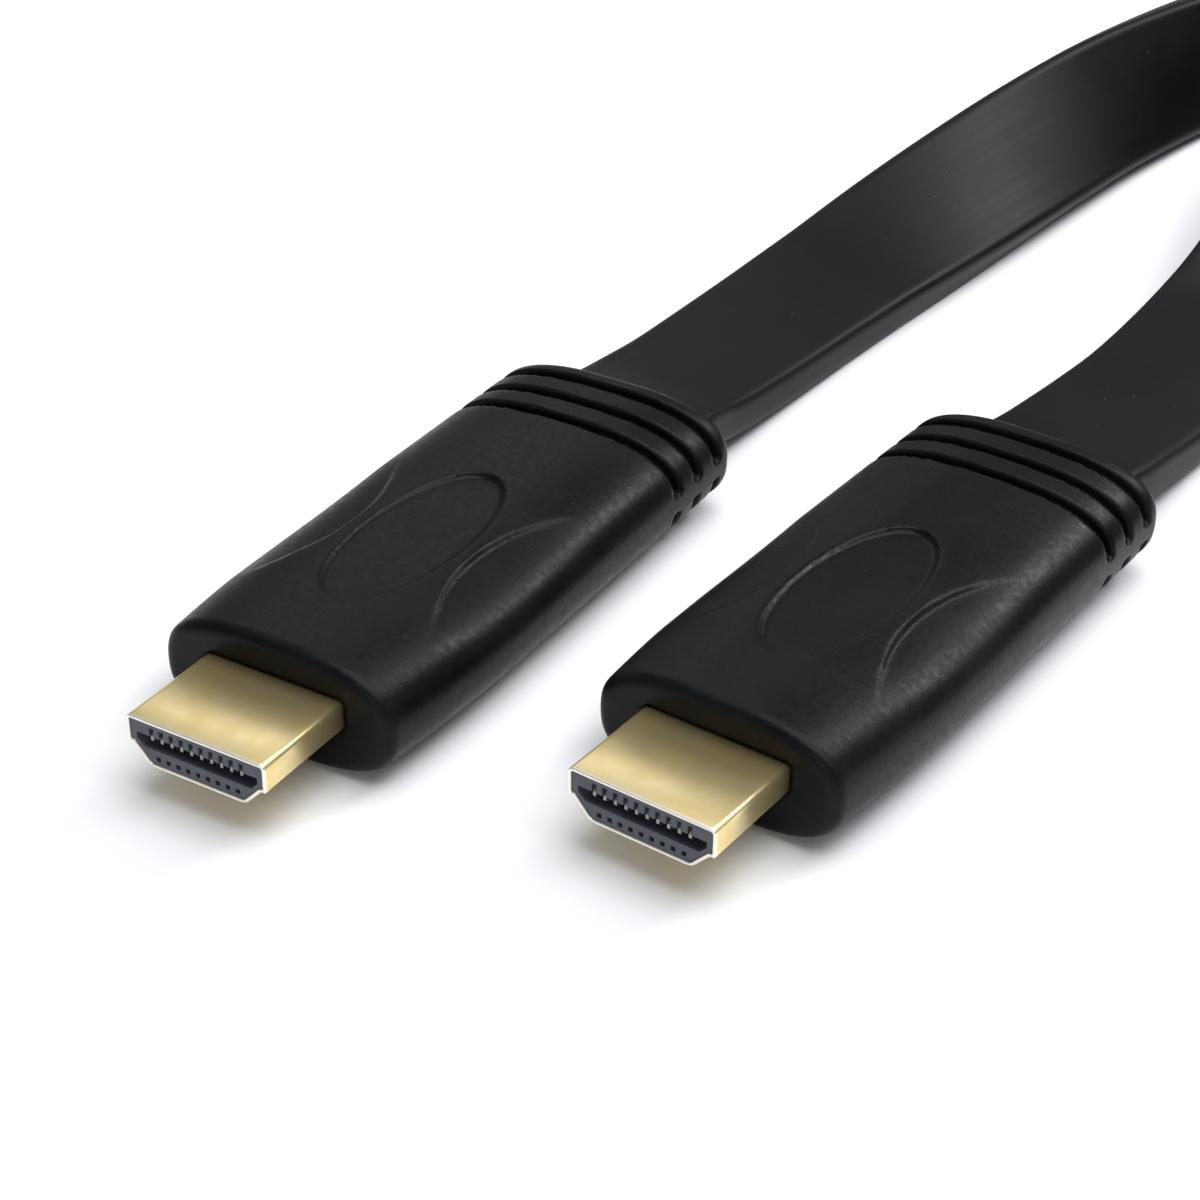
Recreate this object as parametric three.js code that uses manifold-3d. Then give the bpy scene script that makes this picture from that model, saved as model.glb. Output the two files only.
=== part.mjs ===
// A flat ribbon audio and video cable with the same 19-contact plug at both ends.
// Units are millimetres and +Z is up. The plugs lie on the floor, z = 0, and face -Y.
import * as THREE from 'three';
import { mergeVertices } from 'three/addons/utils/BufferGeometryUtils.js';
import Module from 'manifold-3d';

const wasm = await Module();
wasm.setup();

// Clearances
const SEAT_GAP = 0.3;
const INSERT_GAP = 0.15;
const CUT_OVERRUN = 1;

// Overmould, measured along the plug from the mating face at y = 0
const BODY_FRONT = 10.3;
const BODY_LENGTH = 56.3;
const BODY_HEIGHT = 11;
const BODY_FRONT_WIDTH = 23.2;
const BODY_WIDTH = 25.6;
const BODY_SWELL_LENGTH = 20;
const BODY_CROWN = 0.05;
const BODY_ROUNDNESS = 2.68;
const BODY_FRONT_ROUNDING = 1;
const BODY_REAR_ROUNDING = 1.9;

// Relief on the overmould
const OVAL_LENGTH = 24;
const OVAL_WIDTH = 10;
const OVAL_DEPTH = 0.45;
const OVAL_CENTRE_FROM_FRONT = 20.7;
const SCOOP_LENGTH = 23;
const SCOOP_WAIST = 12.6;
const SCOOP_RADIUS = 22;
const SCOOP_STEP = 0.5;
const SCOOP_CENTRE_FROM_FRONT = 20.4;
const GROOVE_COUNT = 3;
const GROOVE_PITCH = 3.78;
const GROOVE_WIDTH = 1.25;
const GROOVE_DEPTH = 1.1;
const GROOVE_LAST_FROM_REAR = 3.4;
const GROOVE_SPINE = 1.6;

// Metal shell
const SHELL_WIDTH = 13.9;
const SHELL_HEIGHT = 4.45;
const SHELL_WALL = 0.3;
const SHELL_SIDE = 2.67;
const SHELL_STEP = 0.5;
const SHELL_FLOOR_WIDTH = 9.62;
const SHELL_CORNER = 0.55;
const SHELL_ROOT = 4;

// Insulator inside the shell, with the slot that takes the tongue of the socket
const INSULATOR_SETBACK = 0.15;
const SLOT_WIDTH = 12.1;
const SLOT_TOP = 1.55;
const SLOT_HEIGHT = 1.2;
const SLOT_CORNER_CUT = 0.65;
const SLOT_DEPTH = 8.2;

// Contacts, in two rows half a pitch apart
const CONTACT_PITCH = 1;
const UPPER_CONTACTS = 10;
const LOWER_CONTACTS = 9;
const UPPER_ROW_DROP = 0.96;
const LOWER_ROW_DROP = 3.6;
const CELL_SIZE = 0.45;
const CELL_DEPTH = 10;
const CONTACT_WIDTH = 0.28;
const CONTACT_THICKNESS = 0.14;
const CONTACT_REACH = 0.35;
const SPRING_START = 1;
const SPRING_LENGTH = 4.5;

// Ribbon
const RIBBON_WIDTH = 17;
const RIBBON_THICKNESS = 4.4;
const RIBBON_EDGE_CUT = 1.3;
const RIBBON_EXIT_HEIGHT = 5.1;
const RIBBON_LEAD = 3;
const FLOOR_GAP = 0.1;

// Where the two plugs lie, and how far each is turned
const PLUG_A = { x: -16.7, y: -40.05, turn: 2.4 };
const PLUG_B = { x: 16.7, y: -26.65, turn: -2.4 };

// Routes of the ribbon on the floor: x, y, height above its resting height, and roll in degrees
const ROUTE_A = [
  [-20.0, 33.9, 1.8, 1],
  [-20.1, 41.9, 0.8, 2],
  [-20.0, 49.9, 0.3, 4],
  [-19.6, 60.9, 0, 7],
  [-18.7, 72.9, 0, 12],
  [-17.3, 84.9, 0, 22],
  [-15.8, 97.9, 0, 32],
  [-14.2, 111.9, 0, 43],
  [-12.2, 125.9, 0, 55],
  [-9.2, 139.9, 0, 67],
  [-5.6, 153.9, 0, 78],
  [-1.9, 167.9, 0, 86],
  [1.5, 180.9, 0, 90],
];
const ROUTE_B = [
  [20.0, 45.9, 2.4, 1],
  [20.2, 51.9, 1.5, 2],
  [20.5, 58.9, 0.7, 3],
  [20.9, 67.9, 0.1, 4],
  [21.2, 79.9, 0, 7],
  [21.2, 92.9, 0, 15],
  [20.2, 104.9, 0, 33],
  [17.8, 115.9, 0, 58],
  [14.8, 126.9, 0, 80],
  [12.6, 135.9, 0, 89],
  [12.0, 142.9, 0, 90],
];

// Coil: both halves of the ribbon are wound together, on edge, from a fold in the middle
const COIL_CENTRE = { x: 100, y: 186.9 };
const COIL_RADIUS = 88;
const COIL_TURN_PITCH = 6.2;
const COIL_SWEEP = 297;
const COIL_LEAD_IN = 165;
const COIL_PARTS = 4;

// Tie round the coil
const TIE_WIDTH = 12;
const TIE_THICKNESS = 1.2;
const TIE_ANGLE = 130;

// Steps that curves are drawn with
const COIL_SEGMENTS = 72;
const SCOOP_SEGMENTS = 96;
const OVAL_SEGMENTS = 20;
const SECTION_POINTS = 60;
const BODY_STATIONS = 24;
const BODY_ROUNDING_STEPS = 5;
const STRETCH_STEPS = 26;
const FOLD_STEPS = 28;
const FOLD_SPOTS = 9;

// Colours of the pieces
const BLACK_VINYL = new THREE.MeshStandardMaterial({ color: 0x141518, roughness: 0.55, metalness: 0 });
const GOLD_PLATE = new THREE.MeshStandardMaterial({ color: 0xc9a45c, roughness: 0.25, metalness: 1 });
const GREY_PLASTIC = new THREE.MeshStandardMaterial({ color: 0x3d4450, roughness: 0.5, metalness: 0 });
const CONTACT_METAL = new THREE.MeshStandardMaterial({ color: 0xc8c2b2, roughness: 0.3, metalness: 1 });
const BLACK_STRAP = new THREE.MeshStandardMaterial({ color: 0x18181a, roughness: 0.9, metalness: 0 });

// Sizes that follow from the ones above
const MID_HEIGHT = BODY_HEIGHT / 2;
const BODY_REAR = BODY_FRONT + BODY_LENGTH;
const SHELL_TOP = MID_HEIGHT + SHELL_HEIGHT / 2;
const SHELL_LENGTH = BODY_FRONT + SHELL_ROOT;
const INSULATOR_INSET = SHELL_WALL + INSERT_GAP;

const point = (x, y) => new THREE.Vector2(x, y);
const radians = THREE.MathUtils.degToRad;

// Solids
function toSolid(geometry) {
  const bare = geometry.clone();
  bare.deleteAttribute('normal');
  bare.deleteAttribute('uv');
  const merged = mergeVertices(bare, 1e-5);
  return new wasm.Manifold(new wasm.Mesh({
    numProp: 3,
    vertProperties: new Float32Array(merged.attributes.position.array),
    triVerts: new Uint32Array(merged.index.array),
  }));
}

function toGeometry(solid) {
  const mesh = solid.getMesh();
  const geometry = new THREE.BufferGeometry();
  geometry.setAttribute('position', new THREE.BufferAttribute(new Float32Array(mesh.vertProperties), 3));
  geometry.setIndex(new THREE.BufferAttribute(new Uint32Array(mesh.triVerts), 1));
  geometry.computeVertexNormals();
  return geometry;
}

// A closed skin over a row of rings with the same number of points
function loftSolid(rings) {
  const count = rings[0].length;
  const index = [];
  for (let ring = 0; ring < rings.length - 1; ring += 1) {
    for (let i = 0; i < count; i += 1) {
      const a = ring * count + i;
      const b = ring * count + ((i + 1) % count);
      index.push(a, b + count, b, a, a + count, b + count);
    }
  }
  const last = (rings.length - 1) * count;
  for (let i = 1; i < count - 1; i += 1) {
    index.push(0, i, i + 1, last, last + i + 1, last + i);
  }
  const geometry = new THREE.BufferGeometry();
  geometry.setAttribute('position', new THREE.Float32BufferAttribute(rings.flat(2), 3));
  geometry.setIndex(index);
  return toSolid(geometry);
}

// Outlines
function moved(corners, inwards) {
  return corners.map((corner, i) => {
    const before = corners[(i + corners.length - 1) % corners.length];
    const after = corners[(i + 1) % corners.length];
    const arriving = corner.clone().sub(before).normalize();
    const leaving = after.clone().sub(corner).normalize();
    const inA = point(-arriving.y, arriving.x);
    const inB = point(-leaving.y, leaving.x);
    const reach = inwards / (1 + inA.dot(inB));
    return corner.clone().addScaledVector(inA.add(inB), reach);
  });
}

function roundedShape(corners, rounding) {
  const shape = new THREE.Shape();
  corners.forEach((corner, i) => {
    const before = corners[(i + corners.length - 1) % corners.length];
    const after = corners[(i + 1) % corners.length];
    const cut = Math.min(rounding, corner.distanceTo(before) * 0.45, corner.distanceTo(after) * 0.45);
    const start = corner.clone().lerp(before, cut / corner.distanceTo(before));
    const end = corner.clone().lerp(after, cut / corner.distanceTo(after));
    if (i === 0) shape.moveTo(start.x, start.y);
    else shape.lineTo(start.x, start.y);
    shape.quadraticCurveTo(corner.x, corner.y, end.x, end.y);
  });
  shape.closePath();
  return shape;
}

// A shape in x and z pulled along the plug
function alongPlug(shape, from, to, curveSegments = 4) {
  const geometry = new THREE.ExtrudeGeometry(shape, { depth: to - from, bevelEnabled: false, curveSegments });
  return geometry.rotateX(Math.PI / 2).translate(0, to, 0);
}

function block(x, y, z) {
  const geometry = new THREE.BoxGeometry(x[1] - x[0], y[1] - y[0], z[1] - z[0]);
  return toSolid(geometry.translate((x[0] + x[1]) / 2, (y[0] + y[1]) / 2, (z[0] + z[1]) / 2));
}

// Corners of the shell's outside, anticlockwise in x and z
function shellCorners() {
  const side = SHELL_WIDTH / 2;
  const floor = SHELL_FLOOR_WIDTH / 2;
  const shoulder = SHELL_TOP - SHELL_SIDE;
  const bottom = SHELL_TOP - SHELL_HEIGHT;
  return [
    point(side, SHELL_TOP), point(-side, SHELL_TOP),
    point(-side, shoulder), point(-side + SHELL_STEP, shoulder),
    point(-floor, bottom), point(floor, bottom),
    point(side - SHELL_STEP, shoulder), point(side, shoulder),
  ];
}

function shellSolid() {
  const outer = roundedShape(shellCorners(), SHELL_CORNER);
  const inner = roundedShape(moved(shellCorners(), SHELL_WALL), SHELL_CORNER - SHELL_WALL);
  const bore = toSolid(alongPlug(inner, -CUT_OVERRUN, SHELL_LENGTH + CUT_OVERRUN));
  return toSolid(alongPlug(outer, 0, SHELL_LENGTH)).subtract(bore);
}

// Heights of the contact rows and the sideways place of each contact
const UPPER_ROW = SHELL_TOP - UPPER_ROW_DROP;
const LOWER_ROW = SHELL_TOP - LOWER_ROW_DROP;
const SLOT_ROOF = SHELL_TOP - SLOT_TOP;
const SLOT_FLOOR = SLOT_ROOF - SLOT_HEIGHT;
const rowPlaces = (count) => Array.from({ length: count }, (_, i) => (i - (count - 1) / 2) * CONTACT_PITCH);

function slotSolid() {
  const half = SLOT_WIDTH / 2;
  const shape = new THREE.Shape([
    point(half, SLOT_ROOF), point(-half, SLOT_ROOF),
    point(-half, SLOT_FLOOR + SLOT_CORNER_CUT), point(-half + SLOT_CORNER_CUT, SLOT_FLOOR),
    point(half - SLOT_CORNER_CUT, SLOT_FLOOR), point(half, SLOT_FLOOR + SLOT_CORNER_CUT),
  ]);
  return toSolid(alongPlug(shape, INSULATOR_SETBACK - CUT_OVERRUN, SLOT_DEPTH));
}

// The hollow of one contact: a square cell behind the face, open to the slot where the spring bows out
function cellSolid(x, row, slotSide, openFrom) {
  const half = CELL_SIZE / 2;
  const across = [x - half, x + half];
  const cell = block(across, [INSULATOR_SETBACK - CUT_OVERRUN, CELL_DEPTH], [row - half, row + half]);
  const heights = [Math.min(row, slotSide), Math.max(row, slotSide)];
  return cell.add(block(across, [openFrom, SPRING_START + SPRING_LENGTH], heights));
}

function insulatorSolid() {
  const outline = roundedShape(moved(shellCorners(), INSULATOR_INSET), SHELL_CORNER - SHELL_WALL);
  let solid = toSolid(alongPlug(outline, INSULATOR_SETBACK, SHELL_LENGTH - SEAT_GAP));
  const slotMiddle = (SLOT_ROOF + SLOT_FLOOR) / 2;
  solid = solid.subtract(slotSolid());
  for (const x of rowPlaces(UPPER_CONTACTS)) {
    solid = solid.subtract(cellSolid(x, UPPER_ROW, slotMiddle, INSULATOR_SETBACK - CUT_OVERRUN));
  }
  for (const x of rowPlaces(LOWER_CONTACTS)) {
    solid = solid.subtract(cellSolid(x, LOWER_ROW, slotMiddle, SPRING_START));
  }
  return solid;
}

// A bent strip: its centre line in y and z, given a thickness, pulled sideways by its width
function stripGeometry(line, x) {
  const half = CONTACT_THICKNESS / 2;
  const offset = line.map((spot, i) => {
    const before = line[Math.max(i - 1, 0)];
    const after = line[Math.min(i + 1, line.length - 1)];
    const along = after.clone().sub(before).normalize();
    return point(-along.y, along.x).multiplyScalar(half);
  });
  const left = line.map((spot, i) => spot.clone().add(offset[i]));
  const right = line.map((spot, i) => spot.clone().sub(offset[i])).reverse();
  const shape = new THREE.Shape([...left, ...right]);
  const geometry = new THREE.ExtrudeGeometry(shape, { depth: CONTACT_WIDTH, bevelEnabled: false });
  // Shape x becomes plug y and shape y becomes plug z
  geometry.rotateX(Math.PI / 2).rotateZ(Math.PI / 2);
  return geometry.translate(x - CONTACT_WIDTH / 2, 0, 0);
}

function upperContact(x) {
  const tip = INSULATOR_SETBACK + CONTACT_THICKNESS;
  const line = [
    point(CELL_DEPTH - SEAT_GAP, UPPER_ROW), point(SPRING_START + SPRING_LENGTH, UPPER_ROW),
    point(tip + CONTACT_REACH * 2, UPPER_ROW), point(tip, SLOT_ROOF),
    point(tip, SLOT_ROOF - CONTACT_REACH),
  ];
  return stripGeometry(line, x);
}

function lowerContact(x) {
  const bow = SPRING_START + SPRING_LENGTH / 3;
  const line = [
    point(CELL_DEPTH - SEAT_GAP, LOWER_ROW), point(SPRING_START + SPRING_LENGTH - SEAT_GAP, LOWER_ROW),
    point(bow, SLOT_FLOOR + CONTACT_REACH), point(SPRING_START + SEAT_GAP, SLOT_FLOOR - CONTACT_REACH),
  ];
  return stripGeometry(line, x);
}

// Section of the overmould: a superellipse cut flat at top and underside, anticlockwise in x and z
function sectionPoints(halfWidth, halfHeight) {
  const swung = (part) => Math.sign(part) * Math.abs(part) ** (2 / BODY_ROUNDNESS);
  return Array.from({ length: SECTION_POINTS }, (_, i) => {
    const turn = (i / SECTION_POINTS) * Math.PI * 2;
    const height = swung(Math.sin(turn)) * (halfHeight + BODY_CROWN);
    const z = MID_HEIGHT + THREE.MathUtils.clamp(height, -halfHeight, halfHeight);
    return point(swung(Math.cos(turn)) * halfWidth, z);
  });
}

// Places along the overmould, each with how far the section is drawn in there for the rounded ends
function bodyStations() {
  const stations = [];
  for (let i = 0; i < BODY_ROUNDING_STEPS; i += 1) {
    const turn = (i / BODY_ROUNDING_STEPS) * (Math.PI / 2);
    const drawnIn = BODY_FRONT_ROUNDING * (1 - Math.sin(turn));
    stations.push({ y: BODY_FRONT + BODY_FRONT_ROUNDING * (1 - Math.cos(turn)), drawnIn });
  }
  const from = BODY_FRONT + BODY_FRONT_ROUNDING;
  const to = BODY_REAR - BODY_REAR_ROUNDING;
  for (let i = 0; i <= BODY_STATIONS; i += 1) {
    stations.push({ y: THREE.MathUtils.lerp(from, to, i / BODY_STATIONS), drawnIn: 0 });
  }
  for (let i = 1; i <= BODY_ROUNDING_STEPS; i += 1) {
    const turn = (i / BODY_ROUNDING_STEPS) * (Math.PI / 2);
    const drawnIn = BODY_REAR_ROUNDING * (1 - Math.cos(turn));
    stations.push({ y: to + BODY_REAR_ROUNDING * Math.sin(turn), drawnIn });
  }
  return stations;
}

// The overmould's block, whose height at each place is lowered by what the given function says
function bodyBlock(lowering) {
  const rings = bodyStations().map(({ y, drawnIn }) => {
    const share = THREE.MathUtils.clamp((y - BODY_FRONT) / BODY_SWELL_LENGTH, 0, 1);
    const width = THREE.MathUtils.lerp(BODY_FRONT_WIDTH, BODY_WIDTH, 1 - (1 - share) ** 2);
    const section = sectionPoints(width / 2 - drawnIn, MID_HEIGHT - drawnIn - lowering(y));
    return section.map((spot) => [spot.x, y, spot.y]);
  });
  return loftSolid(rings);
}

// Grooves run over the top and bottom and stop at a spine along each side
function grooveSolid(y) {
  const half = BODY_WIDTH / 2;
  const from = y - GROOVE_WIDTH / 2;
  const to = y + GROOVE_WIDTH / 2;
  const outside = [-half - CUT_OVERRUN, half + CUT_OVERRUN];
  const band = block(outside, [from, to], [-CUT_OVERRUN, BODY_HEIGHT + CUT_OVERRUN]);
  const core = new THREE.Shape(sectionPoints(half - GROOVE_DEPTH, MID_HEIGHT - GROOVE_DEPTH));
  const kept = toSolid(alongPlug(core, from - CUT_OVERRUN, to + CUT_OVERRUN));
  const spineHeights = [MID_HEIGHT - GROOVE_SPINE / 2, MID_HEIGHT + GROOVE_SPINE / 2];
  const spine = block(outside, [from - CUT_OVERRUN, to + CUT_OVERRUN], spineHeights);
  return band.subtract(kept).subtract(spine);
}

function ovalSolid() {
  const shape = new THREE.Shape();
  shape.absellipse(0, BODY_FRONT + OVAL_CENTRE_FROM_FRONT, OVAL_WIDTH / 2, OVAL_LENGTH / 2, 0, Math.PI * 2);
  const geometry = new THREE.ExtrudeGeometry(shape, {
    depth: OVAL_DEPTH + CUT_OVERRUN, bevelEnabled: false, curveSegments: OVAL_SEGMENTS,
  });
  return toSolid(geometry.translate(0, 0, BODY_HEIGHT - OVAL_DEPTH));
}

// The thumb scoops: a crescent step on each side of the top that runs out towards the side of the body
function scoopSolid() {
  const centre = BODY_FRONT + SCOOP_CENTRE_FROM_FRONT;
  const lowering = (y) => SCOOP_STEP * Math.max(0, 1 - ((y - centre) / (SCOOP_LENGTH / 2)) ** 2);
  const column = new THREE.CylinderGeometry(SCOOP_RADIUS, SCOOP_RADIUS, BODY_HEIGHT, SCOOP_SEGMENTS);
  column.rotateX(Math.PI / 2).translate(SCOOP_WAIST / 2 + SCOOP_RADIUS, centre, MID_HEIGHT + BODY_HEIGHT / 2);
  const right = toSolid(column);
  const reach = [centre - SCOOP_LENGTH / 2, centre + SCOOP_LENGTH / 2];
  const room = block([-BODY_WIDTH, BODY_WIDTH], reach, [MID_HEIGHT, BODY_HEIGHT + CUT_OVERRUN]);
  return right.add(right.mirror([1, 0, 0])).intersect(room).subtract(bodyBlock(lowering));
}

function bodySolid() {
  const pocket = roundedShape(moved(shellCorners(), -SEAT_GAP), SHELL_CORNER);
  const pocketEnd = SHELL_LENGTH + SEAT_GAP;
  let solid = bodyBlock(() => 0).subtract(toSolid(alongPlug(pocket, BODY_FRONT - CUT_OVERRUN, pocketEnd)));
  for (let i = 0; i < GROOVE_COUNT; i += 1) {
    solid = solid.subtract(grooveSolid(BODY_REAR - GROOVE_LAST_FROM_REAR - i * GROOVE_PITCH));
  }
  return solid.subtract(scoopSolid()).subtract(ovalSolid());
}

function named(name, geometry, material) {
  const mesh = new THREE.Mesh(geometry, material);
  mesh.name = name;
  return mesh;
}

function plug(label, place) {
  const group = new THREE.Group();
  group.add(named(`${label}_overmould`, toGeometry(bodySolid()), BLACK_VINYL));
  group.add(named(`${label}_shell`, toGeometry(shellSolid()), GOLD_PLATE));
  group.add(named(`${label}_insulator`, toGeometry(insulatorSolid()), GREY_PLASTIC));
  rowPlaces(UPPER_CONTACTS).forEach((x, i) => {
    group.add(named(`${label}_upper_contact_${i + 1}`, upperContact(x), CONTACT_METAL));
  });
  rowPlaces(LOWER_CONTACTS).forEach((x, i) => {
    group.add(named(`${label}_lower_contact_${i + 1}`, lowerContact(x), CONTACT_METAL));
  });
  group.position.set(place.x, place.y, 0);
  group.rotation.z = radians(place.turn);
  return group;
}

// A ribbon's centre line, whose frames keep the width level and then roll it up on to its edge
class RibbonPath extends THREE.CatmullRomCurve3 {
  constructor(spots, rolls) {
    super(spots, false, 'centripetal');
    this.rolls = rolls;
  }

  rollAt(u) {
    const t = this.getUtoTmapping(u) * (this.rolls.length - 1);
    const i = Math.min(Math.floor(t), this.rolls.length - 2);
    return radians(THREE.MathUtils.lerp(this.rolls[i], this.rolls[i + 1], t - i));
  }

  computeFrenetFrames(segments) {
    const tangents = [];
    const normals = [];
    const binormals = [];
    const up = new THREE.Vector3(0, 0, 1);
    for (let i = 0; i <= segments; i += 1) {
      const tangent = this.getTangentAt(i / segments);
      const left = up.clone().cross(tangent).normalize();
      const roll = this.rollAt(i / segments);
      const above = tangent.clone().cross(left);
      const normal = above.multiplyScalar(Math.cos(roll)).addScaledVector(left, -Math.sin(roll)).normalize();
      tangents.push(tangent);
      normals.push(normal);
      binormals.push(tangent.clone().cross(normal).normalize());
    }
    return { tangents, normals, binormals };
  }
}

// Shape x is the ribbon's thickness and shape y its width
function ribbonSection() {
  const t = RIBBON_THICKNESS / 2;
  const w = RIBBON_WIDTH / 2;
  const cut = RIBBON_EDGE_CUT;
  return new THREE.Shape([
    point(t, -w + cut), point(t, w - cut), point(t - cut, w), point(-t + cut, w),
    point(-t, w - cut), point(-t, -w + cut), point(-t + cut, -w), point(t - cut, -w),
  ]);
}

function ribbonGeometry(path, steps) {
  return new THREE.ExtrudeGeometry(ribbonSection(), { steps, bevelEnabled: false, extrudePath: path });
}

// The height of the centre line of a ribbon whose lower edge rests on the floor
function restingHeight(roll) {
  const angle = radians(roll);
  const w = RIBBON_WIDTH / 2;
  const t = RIBBON_THICKNESS / 2;
  const edge = (w - RIBBON_EDGE_CUT) * Math.sin(angle) + t * Math.cos(angle);
  const corner = w * Math.sin(angle) + (t - RIBBON_EDGE_CUT) * Math.cos(angle);
  return Math.max(edge, corner);
}

// Leaves the rear of a plug face to face with it and follows a route over the floor
function ribbonStretch(place, route) {
  const turn = radians(place.turn);
  const reach = BODY_REAR + SEAT_GAP;
  const leaving = [reach, reach + RIBBON_LEAD].map((distance) => {
    const x = place.x - distance * Math.sin(turn);
    return new THREE.Vector3(x, place.y + distance * Math.cos(turn), RIBBON_EXIT_HEIGHT);
  });
  const spots = route.map(([x, y, lift, roll]) => {
    return new THREE.Vector3(x, y, restingHeight(roll) + FLOOR_GAP + lift);
  });
  const rolls = route.map(([, , , roll]) => roll);
  return ribbonGeometry(new RibbonPath([...leaving, ...spots], [0, 0, ...rolls]), STRETCH_STEPS);
}

// Coil sizes
const COIL_MIDDLE = new THREE.Vector3(COIL_CENTRE.x, COIL_CENTRE.y, RIBBON_WIDTH / 2);
const armRadius = (sweep) => COIL_RADIUS - (2 * COIL_TURN_PITCH * sweep) / 360;
const FOLD_RADIUS = armRadius(COIL_SWEEP) / 2;
const COIL_OUTSIDE = armRadius(-COIL_LEAD_IN) + RIBBON_THICKNESS / 2;
const COIL_BORE = armRadius(COIL_SWEEP) - RIBBON_THICKNESS / 2 - SEAT_GAP;

// The notch under the coil where the tie passes
function tieNotch() {
  const notch = block(
    [COIL_BORE - CUT_OVERRUN, COIL_OUTSIDE + CUT_OVERRUN],
    [-TIE_WIDTH / 2 - SEAT_GAP, TIE_WIDTH / 2 + SEAT_GAP],
    [-CUT_OVERRUN, TIE_THICKNESS + SEAT_GAP],
  );
  return notch.rotate([0, 0, TIE_ANGLE]);
}

// The coil is a ring in equal parts with a gap between them
function coilSolids() {
  const cut = RIBBON_EDGE_CUT;
  const profile = [
    point(COIL_BORE + cut, 0), point(COIL_OUTSIDE - cut, 0), point(COIL_OUTSIDE, cut),
    point(COIL_OUTSIDE, RIBBON_WIDTH - cut), point(COIL_OUTSIDE - cut, RIBBON_WIDTH),
    point(COIL_BORE + cut, RIBBON_WIDTH), point(COIL_BORE, RIBBON_WIDTH - cut), point(COIL_BORE, cut),
    point(COIL_BORE + cut, 0),
  ];
  const ring = new THREE.LatheGeometry(profile, COIL_SEGMENTS).rotateX(Math.PI / 2);
  const whole = toSolid(ring).subtract(tieNotch());
  return Array.from({ length: COIL_PARTS }, (_, i) => {
    const from = (i / COIL_PARTS) * Math.PI * 2;
    const to = ((i + 1) / COIL_PARTS) * Math.PI * 2;
    const started = whole.trimByPlane([-Math.sin(from), Math.cos(from), 0], SEAT_GAP / 2);
    return started.trimByPlane([Math.sin(to), -Math.cos(to), 0], SEAT_GAP / 2);
  });
}

// The fold in the middle of the coil: two half circles that form an S inside the bore
function foldGeometry() {
  const clear = COIL_BORE - SEAT_GAP - RIBBON_THICKNESS / 2;
  const trim = 2 * Math.acos(clear / (2 * FOLD_RADIUS));
  const axis = radians(180 - COIL_SWEEP);
  const spots = [];
  for (let i = 0; i <= FOLD_SPOTS; i += 1) {
    const turned = THREE.MathUtils.lerp(trim, Math.PI, i / FOLD_SPOTS);
    const spot = point(FOLD_RADIUS, 0).add(point(FOLD_RADIUS, 0).rotateAround(point(0, 0), -turned));
    spots.push(spot);
  }
  const mirrored = spots.slice(0, -1).reverse().map((spot) => spot.clone().negate());
  const line = [...spots, ...mirrored].map((spot) => {
    const turned = spot.rotateAround(point(0, 0), axis);
    return new THREE.Vector3(turned.x, turned.y, 0).add(COIL_MIDDLE);
  });
  return ribbonGeometry(new RibbonPath(line, line.map(() => 90)), FOLD_STEPS);
}

function tieGeometry() {
  const wallBow = COIL_BORE - Math.sqrt(COIL_BORE ** 2 - (TIE_WIDTH / 2) ** 2);
  const near = COIL_BORE - wallBow - SEAT_GAP;
  const far = COIL_OUTSIDE + SEAT_GAP;
  const top = RIBBON_WIDTH + SEAT_GAP;
  const opening = [point(near, TIE_THICKNESS), point(far, TIE_THICKNESS), point(far, top), point(near, top)];
  const outline = roundedShape(moved(opening, -TIE_THICKNESS), TIE_THICKNESS);
  outline.holes.push(new THREE.Path(roundedShape(opening, TIE_THICKNESS / 4).getPoints(2).reverse()));
  const loop = alongPlug(outline, -TIE_WIDTH / 2, TIE_WIDTH / 2, 3);
  return loop.rotateZ(radians(TIE_ANGLE));
}

const cable = new THREE.Group();
cable.add(plug('plug_a', PLUG_A));
cable.add(plug('plug_b', PLUG_B));
cable.add(named('ribbon_from_plug_a', ribbonStretch(PLUG_A, ROUTE_A), BLACK_VINYL));
cable.add(named('ribbon_from_plug_b', ribbonStretch(PLUG_B, ROUTE_B), BLACK_VINYL));
const coil = new THREE.Group();
coilSolids().forEach((solid, i) => {
  coil.add(named(`ribbon_coil_${i + 1}`, toGeometry(solid), BLACK_VINYL));
});
coil.add(named('coil_tie', tieGeometry(), BLACK_STRAP));
coil.position.set(COIL_CENTRE.x, COIL_CENTRE.y, 0);
cable.add(coil);
cable.add(named('ribbon_fold', foldGeometry(), BLACK_VINYL));

export default cable;
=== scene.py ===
"""Looks of a flat ribbon audio and video cable with a gilt 19-contact plug at both ends.

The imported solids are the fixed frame. Shapes are worked out in millimetres, in the
plug's own axes: x across, y from the mating face towards the ribbon, z up from the floor.
"""

import logging
import math
from dataclasses import dataclass, field
from enum import Enum
from typing import Any, Iterable, Sequence

import bmesh
import bpy
from mathutils import Matrix, Vector


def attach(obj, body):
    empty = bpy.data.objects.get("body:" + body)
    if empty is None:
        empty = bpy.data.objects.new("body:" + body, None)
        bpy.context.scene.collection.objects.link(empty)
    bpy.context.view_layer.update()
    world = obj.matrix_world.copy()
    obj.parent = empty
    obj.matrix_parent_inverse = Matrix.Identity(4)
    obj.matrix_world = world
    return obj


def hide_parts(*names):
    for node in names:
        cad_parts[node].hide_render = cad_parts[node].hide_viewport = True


LOG = logging.getLogger("flat_cable")
MM = 0.001
Ring = Sequence[Vector]

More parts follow.
